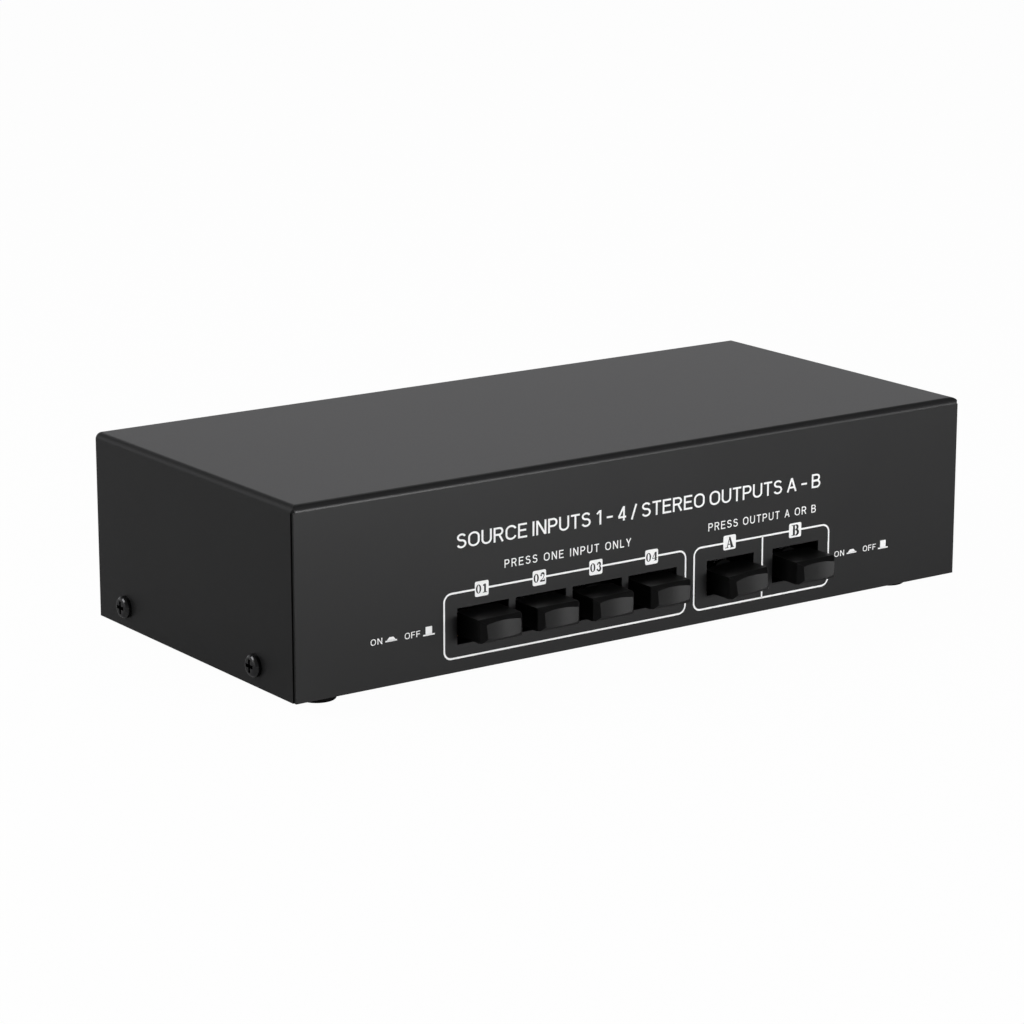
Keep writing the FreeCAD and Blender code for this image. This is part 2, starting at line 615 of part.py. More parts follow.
def wire(x, z, row):
    """Runs forward from a leaf's tail, turns down in one arc and ends on the board."""
    y0 = CASE_D + LEAF_TAIL_Y
    z0 = z + LEAF_Z + LEAF_T / 2
    drop_y = WIRE_DROP_Y[row]
    r = WIRE_BEND_R
    middle = V(x, drop_y + r * (1 - math.sqrt(0.5)), z0 - r * (1 - math.sqrt(0.5)))
    bend = Part.Arc(V(x, drop_y + r, z0), middle, V(x, drop_y, z0 - r)).toShape()
    path = Part.Wire([Part.makeLine(V(x, y0, z0), V(x, drop_y + r, z0)), bend,
                      Part.makeLine(V(x, drop_y, z0 - r), V(x, drop_y, BOARD_TOP_Z))])
    section = Part.Wire(Part.makeCircle(WIRE_D / 2, V(x, y0, z0), V(0, 1, 0)))
    return path.makePipeShell([section], True, False)


def clip_names(block):
    """Names of the two circuits of a block, left pair of columns first."""
    return [["input_1", "input_2"], ["input_3", "input_4"], ["output_a", "output_b"]][block]


os.makedirs("parts", exist_ok=True)
save("cover", cover())
save("base_pan", base_pan())
save("case_screws", *case_screws())
save("rubber_feet", *[rubber_foot(x, y) for x, y in FOOT_PLACES])
save("foot_screws", *[foot_screw(x, y) for x, y in FOOT_PLACES])
save("board_standoffs", *[board_standoff(x, y) for x, y in standoff_places()])
save("board_screws", *[board_screw(x, y) for x, y in standoff_places()])
save("switch_board", switch_board())
save("input_switch_frame", input_switch_frame())
save("input_switch_housings", *[switch_housing(x, FRAME_BACK_Y) for x in INPUT_X])
save("output_switch_housings", *[switch_housing(x, SWITCH_FRONT_Y) for x in OUTPUT_X.values()])
save("interlock_slide", interlock_slide())
save("interlock_spring", interlock_spring())
for i, x in enumerate(INPUT_X):
    number = i + 1
    save("input_button_%d" % number, button_cap(x, INPUT_CAP_Z[i], INPUT_CAP_OUT[i], INPUT_CAP_ROLL[i]))
    save("input_plunger_%d" % number, plunger(x, True))
    save("input_spring_%d" % number, return_spring(x))
for letter, x in OUTPUT_X.items():
    cap = button_cap(x, OUTPUT_CAP_Z[letter], OUTPUT_CAP_OUT[letter], OUTPUT_CAP_ROLL[letter])
    save("output_button_" + letter, cap)
    save("output_plunger_" + letter, plunger(x, False))
    save("output_spring_" + letter, return_spring(x))

save("terminal_blocks", *[terminal_block(x) for x in BLOCK_X])
save("terminal_screws", *[terminal_screw(x) for x in block_screw_x()])
save("contact_leaves", *[contact_leaf(x, z) for block_x in BLOCK_X for x, z in cell_places(block_x)])
wires = {"red": [], "black": []}
for block, block_x in enumerate(BLOCK_X):
    for row, rise in ROWS.items():
        channel = {"upper": "left", "lower": "right"}[row]
        for column, x in enumerate(column_x(block_x)):
            colour = ["red", "black"][column % 2]
            circuit = clip_names(block)[column // 2]
            wires[colour].append(wire(x, BLOCK_Z + rise, row))
            save("clip_%s_%s_%s" % (circuit, channel, colour), clip_lever(x, BLOCK_Z + rise))
save("red_wires", *wires["red"])
save("black_wires", *wires["black"])
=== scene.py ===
import json
import math

import bmesh
import bpy
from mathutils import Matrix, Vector


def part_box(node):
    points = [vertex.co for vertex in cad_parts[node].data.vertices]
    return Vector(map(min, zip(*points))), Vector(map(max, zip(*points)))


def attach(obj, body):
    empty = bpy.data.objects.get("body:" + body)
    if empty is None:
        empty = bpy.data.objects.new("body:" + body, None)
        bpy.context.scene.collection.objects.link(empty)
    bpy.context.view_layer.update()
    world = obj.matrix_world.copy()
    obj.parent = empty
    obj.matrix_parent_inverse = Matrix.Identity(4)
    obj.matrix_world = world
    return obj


# A speaker selector switch dressed for the camera: coated steel, moulded plastic, rubber,
# plated metal, and the white print on its front and rear panels. Metres throughout.

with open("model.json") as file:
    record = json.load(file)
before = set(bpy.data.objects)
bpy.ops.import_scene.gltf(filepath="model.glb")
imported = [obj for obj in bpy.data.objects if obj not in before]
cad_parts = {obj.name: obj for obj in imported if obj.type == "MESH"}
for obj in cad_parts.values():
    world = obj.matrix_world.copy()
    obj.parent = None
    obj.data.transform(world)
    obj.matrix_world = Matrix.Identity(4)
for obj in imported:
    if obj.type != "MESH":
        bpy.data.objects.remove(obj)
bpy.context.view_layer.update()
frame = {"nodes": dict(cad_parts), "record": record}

MM = 0.001
cover_low, cover_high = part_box("cover")
FRONT = cover_low.y
REAR = cover_high.y
EDGE_Z = cover_low.z

# Where the photograph was taken from, round a point on the front panel
VIEW_AZIMUTH = math.radians(-35.20)
VIEW_ELEVATION = math.radians(14.15)
VIEW_DISTANCE = 903.70 * MM
AIM = Vector((-43.74 * MM, FRONT, EDGE_Z + 40.05 * MM))
SENSOR = 36.0
LENS = 123.37
NEAREST_SHOWN = 0.05
FARTHEST_SHOWN = 20.0

# Floor: half its breadth, its own colour, and how much white of which strength shows over it
FLOOR_HALF = 6.0
FLOOR_COLOUR = (0.55, 0.55, 0.55, 1.0)
FLOOR_SHOWN = 0.95
FLOOR_GLOW = 1.03
WHITE = (1.0, 1.0, 1.0, 1.0)

# Room: its brightness at the front, at the back and above. The front turns into the back between
# two values of a direction's Y, and both turn into what is above between two values of its Z.
ROOM_COLOUR = (1.0, 1.0, 1.02, 1.0)
ROOM_FRONT = 0.10
ROOM_BACK = 0.80
ROOM_ABOVE = 0.0
ROOM_NEAR = -0.6
ROOM_FAR = 0.6
ROOM_LOW = 0.1
ROOM_HIGH = 0.6

# How much of the white backdrop a reflection shows. The rest of it is the room.
REFLECTED_SHARE = 0.12

# Each lamp's place, the point it faces, its width and height, and its watts
LAMPS = {
    "key": ((0.31, -1.0, 0.11), (0.0, -0.05, 0.03), (0.4, 0.18), 7.8),
    "key_right": ((0.80, -0.65, 0.11), (0.0, -0.05, 0.03), (0.4, 0.18), 1.5),
    "above": ((0.20, -0.55, 0.90), (0.0, -0.05, 0.03), (0.3, 0.3), 0.4),
    "left_rear": ((-0.65, 0.25, 0.45), (-0.35, 0.0, 0.0), (0.4, 0.4), 2.4),
    "high_rear": ((0.60, 0.90, 1.20), (0.0, 0.05, 0.0), (0.8, 0.8), 1.5),
}

# Print on the front panel, measured across from the middle and up from the cover's lower edge.
# Each frame has its left, right, low and top line.
LINE_W = 0.5 * MM
FRAME_CORNER = 2.2 * MM
INPUT_FRAME = (-65.0 * MM, 13.2 * MM, 3.83 * MM, 21.2 * MM)
OUTPUT_FRAME = (16.13 * MM, 63.2 * MM, 3.8 * MM, 21.13 * MM)
DIVIDER_X = 39.7 * MM
TAG_W = 4.3 * MM
TAG_H = 4.06 * MM
TAG_CORNER = 0.5 * MM
TAG_Z = 21.16 * MM
TAG_X = {"01": -53.28 * MM, "02": -35.05 * MM, "03": -16.75 * MM, "04": 1.7 * MM,
         "A": 28.23 * MM, "B": 51.17 * MM}
DIGIT_H = 2.35 * MM
LETTER_H = 3.0 * MM

# Words, the start and the end of their base line, and their letters' height and breadth
FRONT_WORDS = [
    ("SOURCE INPUTS 1 – 4 / STEREO OUTPUTS A – B",
     (-61.0 * MM, 32.8 * MM), (59.8 * MM, 32.1 * MM), 3.9 * MM, 1.15),
    ("PRESS ONE INPUT ONLY", (-46.1 * MM, 25.5 * MM), (-5.2 * MM, 25.15 * MM), 2.2 * MM, 1.05),
    ("PRESS OUTPUT A OR B", (20.85 * MM, 25.25 * MM), (58.4 * MM, 25.2 * MM), 2.2 * MM, 1.05),
]
STATE_LEGENDS = [(-87.43 * MM, 11.45 * MM), (65.49 * MM, 11.25 * MM)]
STATE_LETTER_H = 1.65 * MM

# Parts of a state legend, from the left end of ON's base line: each word with its start, its end
# and its breadth, the foot of each sign with its start, its end and its lower edge, then the
# hump's left and right edges from its foot to its top, and the block's left, right, low and top
STATE_WORDS = [("ON", 0.0, 3.5 * MM, 1.2), ("OFF", 10.35 * MM, 15.05 * MM, 1.18)]
STATE_FEET = [(4.45 * MM, 7.95 * MM, 0.22 * MM), (15.95 * MM, 19.5 * MM, -0.12 * MM)]
STATE_FOOT_H = 0.38 * MM
STATE_HUMP = ([(4.75 * MM, 0.5 * MM), (5.6 * MM, 1.4 * MM)],
              [(7.7 * MM, 0.5 * MM), (6.85 * MM, 1.4 * MM)])
STATE_BLOCK = (16.7 * MM, 18.7 * MM, 0.2 * MM, 2.25 * MM)

# Print on the rear panel, above and below the terminal blocks
REAR_CIRCUITS = {"01": 84.0 * MM, "02": 56.0 * MM, "03": 14.0 * MM, "04": -14.0 * MM,
                 "A": -56.0 * MM, "B": -84.0 * MM}
REAR_NUMBER_Z = 46.5 * MM
REAR_NUMBER_H = 1.8 * MM
REAR_SIGN_Z = 5.2 * MM
REAR_SIGN_H = 2.0 * MM
REAR_CHANNELS = {"L": 34.75 * MM, "R": 17.25 * MM}
REAR_CHANNEL_X = 106.5 * MM
CLIP_HALF_PITCH = 7.0 * MM

# Heights of ink above the panel it is printed on, and from one stroke of a letter to the next,
# and how close two points of a piece are that count as one
INK_FLOOR = -0.010 * MM
INK_TOP = 0.020 * MM
INK_STEP = 0.001 * MM
TAG_TOP = 0.035 * MM
GLYPH_FLOOR = 0.025 * MM
GLYPH_TOP = 0.050 * MM
MERGE_WITHIN = 1e-8


# Surfaces to print on

class Panel:
    """A flat face: u runs to the reader's right, v up, and h stands out of it."""

    def __init__(self, origin, right, out):
        self.origin = Vector(origin)
        self.right = Vector(right)
        self.out = Vector(out)

    def point(self, u, v, h):
        return self.origin + self.right * u + Vector((0, 0, v)) + self.out * h


FRONT_PANEL = Panel((0, FRONT, EDGE_Z), (1, 0, 0), (0, -1, 0))
REAR_PANEL = Panel((0, REAR, EDGE_Z), (-1, 0, 0), (0, 1, 0))


def strip(mesh, panel, left, right, floor, top, closed=False):
    """A thin solid between two edges of (u, v) points that have the same count."""
    rows = []
    for a, b in zip(left, right):
        rows.append([mesh.verts.new(panel.point(*uv, h)) for h in (top, floor) for uv in (a, b)])
    count = len(rows)
    for i in range(count if closed else count - 1):
        a = rows[i]
        b = rows[(i + 1) % count]
        for one, two in ((0, 1), (1, 3), (3, 2), (2, 0)):
            mesh.faces.new((a[one], a[two], b[two], b[one]))
    if not closed:
        for row in (rows[0], rows[-1]):
            mesh.faces.new((row[0], row[1], row[3], row[2]))


def rounded_outline(u0, u1, v0, v1, radius, steps=8):
    """Points round a rectangle with rounded corners, with steps along each corner."""
    corners = [(u1 - radius, v1 - radius, 0), (u0 + radius, v1 - radius, 90),
               (u0 + radius, v0 + radius, 180), (u1 - radius, v0 + radius, 270)]
    points = []
    for u, v, start in corners:
        for i in range(steps + 1):
            angle = math.radians(start + 90 * i / steps)
            points.append((u + radius * math.cos(angle), v + radius * math.sin(angle)))
    return points


def line_frame(mesh, panel, limits):
    """A closed line with rounded corners, drawn on the middle of the given limits."""
    u0, u1, v0, v1 = limits
    half = LINE_W / 2
    outer = rounded_outline(u0 - half, u1 + half, v0 - half, v1 + half, FRAME_CORNER + half)
    inner = rounded_outline(u0 + half, u1 - half, v0 + half, v1 - half, FRAME_CORNER - half)
    strip(mesh, panel, outer, inner, INK_FLOOR, INK_TOP, closed=True)


def block(u0, u1, v0, v1):
    """The left and the right edge of an upright rectangle."""
    return [(u0, v0), (u0, v1)], [(u1, v0), (u1, v1)]


def bar(mesh, panel, u0, u1, v0, v1):
    strip(mesh, panel, *block(u0, u1, v0, v1), INK_FLOOR, INK_TOP)


def tag_plate(mesh, panel, u, v):
    """The white plate of a tag, cut into rows from its lower to its upper edge."""
    half_w = TAG_W / 2
    half_h = TAG_H / 2
    outline = rounded_outline(u - half_w, u + half_w, v - half_h, v + half_h, TAG_CORNER, steps=4)
    quarter = len(outline) // 4
    left = outline[quarter:3 * quarter]
    right = outline[:quarter][::-1] + outline[3 * quarter:][::-1]
    strip(mesh, panel, left, right, INK_FLOOR, TAG_TOP)


def arc(centre, radii, start, end, steps=14):
    """Points on an ellipse, from one angle to another in degrees."""
    angles = [math.radians(start + (end - start) * i / steps) for i in range(steps + 1)]
    return [(centre[0] + radii[0] * math.cos(a), centre[1] + radii[1] * math.sin(a)) for a in angles]


def stroke(points, width):
    """Both edges of a pen stroke along points, width(t) wide, where t runs from 0 to 1."""
    left = []
    right = []
    for i, (u, v) in enumerate(points):
        before = points[max(i - 1, 0)]
        after = points[min(i + 1, len(points) - 1)]
        run = Vector((after[0] - before[0], after[1] - before[1])).normalized()
        half = width(i / (len(points) - 1)) / 2
        left.append((u - run.y * half, v + run.x * half))
        right.append((u + run.y * half, v - run.x * half))
    return left, right


# Plain capitals, drawn with one pen in a box one unit high

PEN = 0.13
EDGE = PEN / 2
TOP = 1.0 - EDGE
OVAL_BEND = 0.30


def upright(u):
    return [(u, 0.0), (u, 1.0)]


def level(u0, u1, v):
    return [(u0, v), (u1, v)]


def belly(u, v, across, up):
    """From the stem, round to the right and back to it."""
    return [(EDGE, v + up)] + arc((u, v), (across, up), 90, -90) + [(EDGE, v - up)]


def oval(middle, across):
    """The left and the right half of a round character."""
    radii = (across, OVAL_BEND)
    lower = (middle, EDGE + OVAL_BEND)
    upper = (middle, 1.0 - (EDGE + OVAL_BEND))
    left = arc(upper, radii, 90, 180) + arc(lower, radii, 180, 270)
    right = arc(upper, radii, 90, 0) + arc(lower, radii, 0, -90)
    return [left, right]


# Each capital's width and its strokes
CAPITALS = {
    "A": (0.76, [[(0.06, 0.0), (0.38, 0.98)], [(0.70, 0.0), (0.38, 0.98)], level(0.18, 0.58, 0.31)]),
    "B": (0.68, [upright(EDGE), belly(0.38, 0.735, 0.20, 0.20), belly(0.39, 0.29, 0.23, 0.225)]),
    "C": (0.76, [arc((0.40, 0.64), (0.33, 0.295), 20, 180)
                 + arc((0.40, 0.36), (0.33, 0.295), 180, 340)]),
    "E": (0.64, [upright(EDGE), level(0.0, 0.62, TOP), level(0.0, 0.57, 0.53), level(0.0, 0.64, EDGE)]),
    "F": (0.60, [upright(EDGE), level(0.0, 0.60, TOP), level(0.0, 0.54, 0.50)]),
    "I": (0.14, [upright(0.07)]),
    "L": (0.56, [upright(EDGE), level(0.0, 0.56, EDGE)]),
    "N": (0.72, [upright(EDGE), upright(0.655), [(0.09, 0.97), (0.63, 0.03)]]),
    "O": (0.80, oval(0.40, 0.335)),
    "P": (0.66, [upright(EDGE), belly(0.38, 0.70, 0.22, 0.235)]),
    "R": (0.70, [upright(EDGE), belly(0.39, 0.715, 0.22, 0.22), [(0.38, 0.50), (0.64, 0.0)]]),
    "S": (0.66, [arc((0.33, 0.735), (0.25, 0.20), 20, 270)
                 + arc((0.33, 0.30), (0.27, 0.235), 90, -160)]),
    "T": (0.64, [upright(0.32), level(0.0, 0.64, TOP)]),
    "U": (0.72, [[(EDGE, 1.0)] + arc((0.36, 0.335), (0.295, 0.27), 180, 360) + [(0.655, 1.0)]]),
    "Y": (0.70, [[(0.05, 1.0), (0.35, 0.42)], [(0.65, 1.0), (0.35, 0.42)], [(0.35, 0.0), (0.35, 0.46)]]),
    "0": (0.58, oval(0.29, 0.225)),
    "1": (0.42, [upright(0.33), [(0.08, 0.76), (0.30, 0.95)]]),
    "2": (0.58, [arc((0.30, 0.71), (0.22, 0.225), 170, -35) + [(0.10, 0.10)], level(0.03, 0.57, EDGE)]),
    "3": (0.57, [arc((0.28, 0.735), (0.20, 0.20), 160, -90),
                 arc((0.28, 0.30), (0.225, 0.235), 90, -160)]),
    "4": (0.60, [upright(0.43), level(0.03, 0.59, 0.255), [(0.05, 0.27), (0.41, 0.96)]]),
    "–": (0.44, [level(0.0, 0.44, 0.42)]),
    "/": (0.39, [[(0.03, -0.02), (0.36, 1.02)]]),
    "+": (0.56, [level(0.0, 0.56, 0.5), [(0.28, 0.22), (0.28, 0.78)]]),
}
WORD_SPACE = 2


def draw(mesh, panel, edges, corner, size, floor, top, closed=False):
    """One stroke of a character, whose box stands at corner. A unit of it is size[0] by size[1]."""
    left, right = ([(corner[0] + u * size[0], corner[1] + v * size[1]) for u, v in edge]
                   for edge in edges)
    strip(mesh, panel, left, right, floor, top, closed)


def pen_width(along):
    return PEN


def capitals(mesh, panel, words, start, end, height, wide=1.05):
    """Words in plain capitals, spaced evenly from start to end of their base line."""
    letters = words.replace(" ", "")
    drawn = sum(CAPITALS[c][0] for c in letters) * wide * height
    gaps = len(letters) - 1 + WORD_SPACE * words.count(" ")
    gap = (end[0] - start[0] - drawn) / max(gaps, 1)
    slope = (end[1] - start[1]) / (end[0] - start[0])
    u = start[0]
    for c in words:
        if c == " ":
            u += WORD_SPACE * gap
            continue
        width, strokes = CAPITALS[c]
        corner = (u, start[1] + slope * (u - start[0]))
        for i, points in enumerate(strokes):
            draw(mesh, panel, stroke(points, pen_width), corner, (wide * height, height),
                 INK_FLOOR, INK_TOP + i * INK_STEP)
        u += width * wide * height + gap


# Serif characters of the tags, drawn in a box one unit high with its middle at u = 0. Each is a
# list of strokes, and a stroke is its left and its right edge.

def disc(u, v, radius):
    centre = (u, v)
    radii = (radius, radius)
    return arc(centre, radii, 90, 270, 8), arc(centre, radii, 90, -90, 8)


def swelling(thin, thick, reach=1.0):
    """The width of a stroke that is thin at its ends and thick in between."""
    return lambda t: thin + (thick - thin) * math.sin(math.pi * min(1.0, t * reach))


def glyph_0():
    """A ring, whose edges are the outer and the inner oval."""
    return [(arc((0, 0.5), (0.35, 0.51), 0, 360, 32), arc((0, 0.5), (0.14, 0.43), 0, 360, 32))]


def glyph_1():
    return [block(-0.12, 0.12, 0.03, 0.97), block(-0.28, 0.28, 0.0, 0.07),
            ([(-0.28, 0.80), (-0.12, 0.74)], [(-0.28, 0.87), (-0.06, 1.02)])]


def glyph_2():
    bowl = arc((0.0, 0.72), (0.21, 0.24), 165, -20) + [(0.08, 0.38), (-0.24, 0.12)]
    return [stroke(bowl, swelling(0.08, 0.24, 1.25)), disc(-0.19, 0.72, 0.10),
            block(-0.33, 0.33, 0.0, 0.18), block(0.26, 0.33, 0.0, 0.32)]


def glyph_3():
    upper = arc((-0.02, 0.76), (0.19, 0.20), 150, -80)
    lower = arc((-0.02, 0.28), (0.22, 0.25), 85, -150)
    return [stroke(upper, swelling(0.07, 0.24)), stroke(lower, swelling(0.07, 0.26)),
            disc(-0.20, 0.80, 0.09), disc(-0.22, 0.19, 0.10)]


def glyph_4():
    return [block(0.03, 0.27, 0.03, 1.0), block(-0.08, 0.34, 0.0, 0.06), block(-0.34, 0.38, 0.24, 0.31),
            ([(-0.34, 0.28), (0.03, 0.98)], [(-0.27, 0.28), (0.12, 0.98)])]


def glyph_a():
    return [([(-0.33, 0.03), (-0.03, 1.0)], [(-0.24, 0.03), (0.04, 1.0)]),
            ([(0.13, 0.03), (-0.08, 1.0)], [(0.43, 0.03), (0.08, 1.0)]),
            block(-0.19, 0.24, 0.28, 0.35), block(-0.50, -0.12, 0.0, 0.06), block(0.05, 0.50, 0.0, 0.06)]


def glyph_b():
    upper = arc((0.04, 0.755), (0.23, 0.215), 95, -90)
    lower = arc((0.06, 0.275), (0.27, 0.245), 90, -95)
    return [block(-0.27, -0.03, 0.0, 1.0), block(-0.42, 0.06, 0.0, 0.06), block(-0.42, 0.04, 0.94, 1.0),
            stroke(upper, swelling(0.07, 0.25)), stroke(lower, swelling(0.07, 0.27)),
            block(-0.05, 0.08, 0.49, 0.56)]


GLYPHS = {"0": glyph_0(), "1": glyph_1(), "2": glyph_2(), "3": glyph_3(), "4": glyph_4(),
          "A": glyph_a(), "B": glyph_b()}
DIGIT_ADVANCE = 0.86


def tag_words(mesh, panel, word, u, v, height):
    """Serif characters set side by side, centred on u and v."""
    for i, letter in enumerate(word):
        middle = u + (i - (len(word) - 1) / 2) * DIGIT_ADVANCE * height
        for edges in GLYPHS[letter]:
            draw(mesh, panel, edges, (middle, v - height / 2), (height, height),
                 GLYPH_FLOOR, GLYPH_TOP, closed=letter == "0")


# Objects

def placed(name, data):
    """A new object of the scene."""
    made = bpy.data.objects.new(name, data)
    bpy.context.scene.collection.objects.link(made)
    return made


def mesh_object(name, mesh, finish):
    """Turns a finished bmesh into an object with one finish."""
    data = bpy.data.meshes.new(name)
    mesh.to_mesh(data)
    mesh.free()
    data.materials.append(finish)
    return placed(name, data)


def aim(holder, place, direction):
    """Sets a lamp or the camera at a place, to look along a direction."""
    holder.location = place
    holder.rotation_mode = "QUATERNION"
    holder.rotation_quaternion = direction.to_track_quat("-Z", "Y")


def piece(name, mesh, finish):
    """Turns a finished bmesh into an object that rides on the case."""
    bmesh.ops.remove_doubles(mesh, verts=mesh.verts, dist=MERGE_WITHIN)
    bmesh.ops.recalc_face_normals(mesh, faces=mesh.faces)
    made = mesh_object(name, mesh, finish)
    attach(made, "case")


# Materials

# Sockets of a colour mix, whose names its number and vector sockets also have
MIX_SHARE = 0
MIX_FIRST = 6
MIX_SECOND = 7
MIX_RESULT = 2


class Field:
    """A number from a node. Python's arithmetic on it adds Math nodes."""

    def __init__(self, shading, socket):
        self.shading = shading
        self.socket = socket

    def math(self, operation, *values):
        node = self.shading.node("ShaderNodeMath", {"operation": operation}, dict(enumerate(values)))
        return Field(self.shading, node.outputs[0])

    def __add__(self, other):
        return self.math("ADD", self, other)

    def __rsub__(self, other):
        return self.math("SUBTRACT", other, self)

    def __mul__(self, other):
        return self.math("MULTIPLY", self, other)

    __radd__ = __add__
    __rmul__ = __mul__

    def between(self, low, high):
        """0 up to low, 1 from high on, and smooth in between."""
        node = self.shading.node("ShaderNodeMapRange", {"interpolation_type": "SMOOTHSTEP"},
                                 {"Value": self, "From Min": low, "From Max": high})
        return Field(self.shading, node.outputs[0])


class Shading:
    """One node tree and the ways to fill it."""

    def __init__(self, tree):
        self.tree = tree

    def node(self, kind, settings=None, sockets=None):
        made = self.tree.nodes.new(kind)
        for key, value in (settings or {}).items():
            setattr(made, key, value)
        for key, value in (sockets or {}).items():
            self.feed(made.inputs[key], value)
        return made

    def feed(self, socket, value):
        if isinstance(value, Field):
            value = value.socket
        if isinstance(value, bpy.types.NodeSocket):
            self.tree.links.new(value, socket)
        else:
            socket.default_value = value

    def end(self, kind, share, first, second):
        """Ends the tree in two blended shaders: share of the second, the rest of the first."""
        blend = (share, first.outputs[0], second.outputs[0])
        mixed = self.node("ShaderNodeMixShader", None, dict(enumerate(blend)))
        self.node(kind, None, {"Surface": mixed.outputs[0]})


class Finish(Shading):
    """A procedural material with one Principled shader."""

    def __init__(self, name, **constants):
        self.material = bpy.data.materials.new(name)
        self.material.use_nodes = True
        super().__init__(self.material.node_tree)
        self.shader = self.tree.nodes["Principled BSDF"]
        self.place = self.node("ShaderNodeTexCoord").outputs["Object"]
        for socket, value in constants.items():
            self.set(socket.replace("_", " "), value)

    def set(self, socket, value):
        self.feed(self.shader.inputs[socket], value)

    def stretched(self, *scale):
        """The place on the object, scaled along its axes."""
        node = self.node("ShaderNodeMapping", None, {"Vector": self.place, "Scale": scale})
        return node.outputs[0]

    def noise(self, per_metre, detail=2.0, vector=None):
        """Cloudy noise, from 0 to 1, with so many clouds in a metre."""
        node = self.node("ShaderNodeTexNoise", None,
                         {"Vector": vector or self.place, "Scale": per_metre, "Detail": detail})
        return Field(self, node.outputs[0])

    def colours(self, factor, first, second):
        """The first colour where factor is 0, the second where it is 1."""
        node = self.node("ShaderNodeMix", {"data_type": "RGBA"},
                         {MIX_SHARE: factor, MIX_FIRST: (*first, 1.0), MIX_SECOND: (*second, 1.0)})
        return node.outputs[MIX_RESULT]

    def bump(self, height, strength, distance):
        """A relief in the shading, distance high where height is 1, and shown at strength."""
        node = self.node("ShaderNodeBump", None,
                         {"Height": height, "Strength": strength, "Distance": distance})
        self.set("Normal", node.outputs[0])


def case_coating():
    """Satin black coating on sheet steel, with a fine orange peel."""
    f = Finish("case_coating", IOR=1.5, Specular_IOR_Level=0.22)
    grain = f.noise(per_metre=2600.0, detail=3.0)
    cloud = f.noise(per_metre=28.0, detail=3.0).between(0.3, 0.7)
    f.set("Base Color", f.colours(cloud, (0.0134, 0.0134, 0.0138), (0.0150, 0.0150, 0.0154)))
    f.set("Roughness", 0.34 + grain * 0.05)
    f.bump(grain, strength=0.10, distance=0.03 * MM)
    return f.material


def button_plastic():
    """Moulded black plastic with a fine spark eroded grain."""
    f = Finish("button_plastic", IOR=1.5, Specular_IOR_Level=0.18)
    grain = f.noise(per_metre=5200.0)
    cloud = f.noise(per_metre=160.0)
    f.set("Base Color", f.colours(cloud, (0.0040, 0.0040, 0.0041), (0.0050, 0.0050, 0.0051)))
    f.set("Roughness", 0.34 + grain * 0.06)
    f.bump(grain, strength=0.08, distance=0.02 * MM)
    return f.material


def foot_rubber():
    """Dull black rubber."""
    f = Finish("foot_rubber", IOR=1.5, Specular_IOR_Level=0.03)
    grain = f.noise(per_metre=3200.0, detail=3.0)
    cloud = f.noise(per_metre=200.0)
    f.set("Base Color", f.colours(cloud, (0.003, 0.003, 0.003), (0.005, 0.005, 0.005)))
    f.set("Roughness", 0.70 + grain * 0.15)
    f.bump(grain, strength=0.25, distance=0.04 * MM)
    return f.material


def screw_black():
    """Black nickel on steel, a little rubbed."""
    f = Finish("screw_black", Metallic=1.0)
    rub = f.noise(per_metre=900.0, detail=4.0).between(0.52, 0.75)
    f.set("Base Color", f.colours(rub, (0.060, 0.060, 0.062), (0.110, 0.108, 0.105)))
    f.set("Roughness", 0.14 + f.noise(per_metre=2600.0) * 0.10)
    f.bump(f.noise(per_metre=3000.0, detail=3.0), strength=0.10, distance=0.02 * MM)
    return f.material


def plated(name, light, dark, roughness):
    """Plated metal with drawing marks along X and a soft bloom."""
    f = Finish(name, Metallic=1.0)
    drawn = f.noise(per_metre=420.0, detail=4.0, vector=f.stretched(0.06, 1.0, 1.0))
    bloom = f.noise(per_metre=60.0, detail=3.0)
    f.set("Base Color", f.colours(bloom.between(0.3, 0.75), light, dark))
    f.set("Roughness", roughness + drawn * 0.12 + bloom * 0.06)
    f.bump(drawn, strength=0.08, distance=0.02 * MM)
    return f.material


def moulded(name, first, second, roughness, reflectance=0.5):
    """Moulded plastic or wire insulation."""
    f = Finish(name, IOR=1.5, Specular_IOR_Level=reflectance)
    grain = f.noise(per_metre=1800.0)
    f.set("Base Color", f.colours(f.noise(per_metre=120.0, detail=3.0), first, second))
    f.set("Roughness", roughness + grain * 0.10)
    f.bump(grain, strength=0.08, distance=0.02 * MM)
    return f.material


def board_laminate():
    """Paper laminate: brown, with a faint flecked fibre."""
    f = Finish("board_laminate", IOR=1.5)
    fibre = f.noise(per_metre=500.0, detail=5.0, vector=f.stretched(0.2, 1.0, 1.0))
    f.set("Base Color", f.colours(fibre, (0.16, 0.095, 0.035), (0.26, 0.17, 0.07)))
    f.set("Roughness", 0.42 + fibre * 0.15)
    f.bump(fibre, strength=0.06, distance=0.02 * MM)
    return f.material


def ink(name, light, dark):
    """Screen printed ink, thin in places."""
    f = Finish(name, IOR=1.45, Specular_IOR_Level=0.3)
    patch = f.noise(per_metre=1500.0, detail=4.0)
    f.set("Base Color", f.colours(patch.between(0.3, 0.8), light, dark))
    f.set("Roughness", 0.55 + patch * 0.15)
    f.bump(f.noise(per_metre=5000.0), strength=0.10, distance=0.01 * MM)
    return f.material


